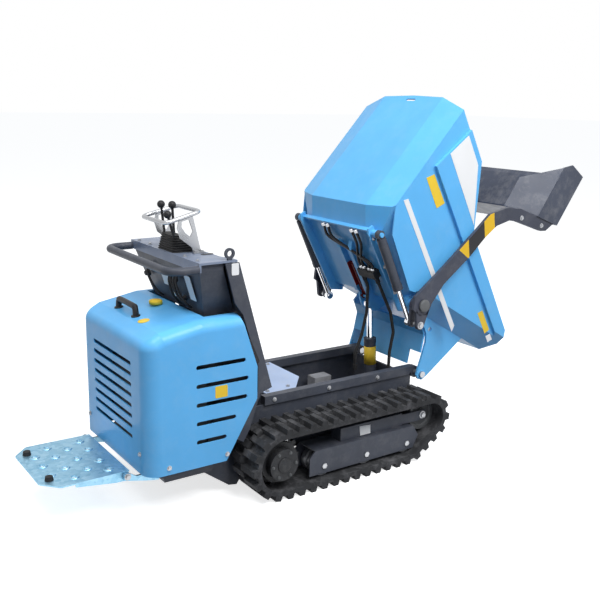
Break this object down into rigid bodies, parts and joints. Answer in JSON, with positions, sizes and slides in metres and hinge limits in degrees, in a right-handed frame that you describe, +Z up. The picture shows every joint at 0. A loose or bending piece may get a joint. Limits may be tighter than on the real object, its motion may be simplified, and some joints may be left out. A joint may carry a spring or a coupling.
{
  "type": "tracked site dumper",
  "caption": "Self-loading tracked site dumper with a tipping skip, loading arms with a shovel, a hinged hood and a fold-down operator platform.",
  "frame": {"origin": "on the ground, midway along the machine and on its centre line", "axes": "+X forwards, the way the skip tips; +Y to the machine's left; +Z up"},
  "size_m": [2.5274, 0.78, 1.5411],
  "materials": {
    "body_paint": "gloss",
    "frame_paint": "satin",
    "rubber": "matte",
    "chrome_rod": "polished",
    "bare_steel": "zinc plated",
    "galvanised": "galvanised",
    "prop_red": "satin",
    "cover_paint": "satin",
    "engine_grey": "as cast",
    "black_plastic": "moulded"
  },
  "bodies": {
    "chassis": {"chassis_frame": "frame_paint", "hinge_pins": "bare_steel", "track_frame_right": "frame_paint", "track_frame_left": "frame_paint", "bottom_rollers_right": "bare_steel", "bottom_rollers_left": "bare_steel", "idler_right": "bare_steel", "idler_left": "bare_steel", "sprocket_right": "frame_paint", "sprocket_left": "frame_paint", "track_right": "rubber", "track_left": "rubber", "engine_block": "engine_grey", "column_frame": "frame_paint", "console_box": "frame_paint", "console_top": "frame_paint", "grab_bar": "frame_paint", "lever_guard": "bare_steel", "control_levers": "black_plastic", "lever_boots": "rubber", "lifting_eye": "frame_paint", "valve_block": "frame_paint", "well_cover": "cover_paint", "platform_brackets": "galvanised"},
    "hood": {"hood_shell": "body_paint", "hood_handle": "black_plastic"},
    "platform": {"platform_plate": "galvanised", "platform_arms": "galvanised", "platform_buffers": "rubber"},
    "skip": {"skip_tub": "body_paint", "skip_subframe": "frame_paint", "oil_hoses": "rubber"},
    "prop": {"safety_prop": "prop_red"},
    "shovel": {"arm_right": "frame_paint", "arm_left": "frame_paint", "shovel": "frame_paint"},
    "tip_barrel": {"tip_barrel": "frame_paint"},
    "tip_rod": {"tip_rod": "chrome_rod"},
    "lift_barrel_right": {"lift_barrel_right": "frame_paint"},
    "lift_barrel_left": {"lift_barrel_left": "frame_paint"},
    "lift_rod_right": {"lift_rod_right": "chrome_rod"},
    "lift_rod_left": {"lift_rod_left": "chrome_rod"}
  },
  "joints": [
    {"name": "skip_tip", "type": "hinge", "parent": "chassis", "child": "skip", "pos_m": [0.419, 0, 0.337], "axis": [0, 1, 0], "range_deg": [-61, 0]},
    {"name": "shovel_arm", "type": "hinge", "parent": "skip", "child": "shovel", "pos_m": [0.30733, 0, 0.68761], "axis": [0, -1, 0], "range_deg": [-107.5, 0]},
    {"name": "hood_open", "type": "hinge", "parent": "chassis", "child": "hood", "pos_m": [-0.905, 0, 0.205], "axis": [0, -1, 0], "range_deg": [0, 60]},
    {"name": "platform_fold", "type": "hinge", "parent": "chassis", "child": "platform", "pos_m": [-0.963, 0, 0.173], "axis": [0, -1, 0], "range_deg": [-90, 0]},
    {"name": "prop_swing", "type": "hinge", "parent": "skip", "child": "prop", "pos_m": [0.29293, 0, 0.65504], "axis": [0, -1, 0], "range_deg": [0, 150]},
    {"name": "tip_barrel_swing", "type": "hinge", "parent": "chassis", "child": "tip_barrel", "pos_m": [0.335, 0, 0.23], "axis": [0, 1, 0], "range_deg": [-51.9, 0]},
    {"name": "tip_rod_slide", "type": "slide", "parent": "tip_barrel", "child": "tip_rod", "axis": [-0.055, 0, 0.9985], "range_m": [-0.1281, 0]},
    {"name": "lift_barrel_right_swing", "type": "hinge", "parent": "skip", "child": "lift_barrel_right", "pos_m": [0.11453, 0, 0.99056], "axis": [0, -1, 0], "range_deg": [-1.75, 0]},
    {"name": "lift_rod_right_slide", "type": "slide", "parent": "lift_barrel_right", "child": "lift_rod_right", "axis": [0.4245, 0, -0.9054], "range_m": [-0.1372, 0]},
    {"name": "lift_barrel_left_swing", "type": "hinge", "parent": "skip", "child": "lift_barrel_left", "pos_m": [0.11453, 0, 0.99056], "axis": [0, -1, 0], "range_deg": [-1.75, 0]},
    {"name": "lift_rod_left_slide", "type": "slide", "parent": "lift_barrel_left", "child": "lift_rod_left", "axis": [0.4245, 0, -0.9054], "range_m": [-0.1372, 0]}
  ],
  "couplings": [
    {"joint": "tip_barrel_swing", "follows": "skip_tip", "ratio": 0.84555},
    {"joint": "tip_rod_slide", "follows": "skip_tip", "m_per_rad": 0.11986},
    {"joint": "lift_barrel_right_swing", "follows": "shovel_arm", "ratio": 0.015363},
    {"joint": "lift_rod_right_slide", "follows": "shovel_arm", "m_per_rad": 0.072869},
    {"joint": "lift_barrel_left_swing", "follows": "shovel_arm", "ratio": 0.015363},
    {"joint": "lift_rod_left_slide", "follows": "shovel_arm", "m_per_rad": 0.072869}
  ]
}
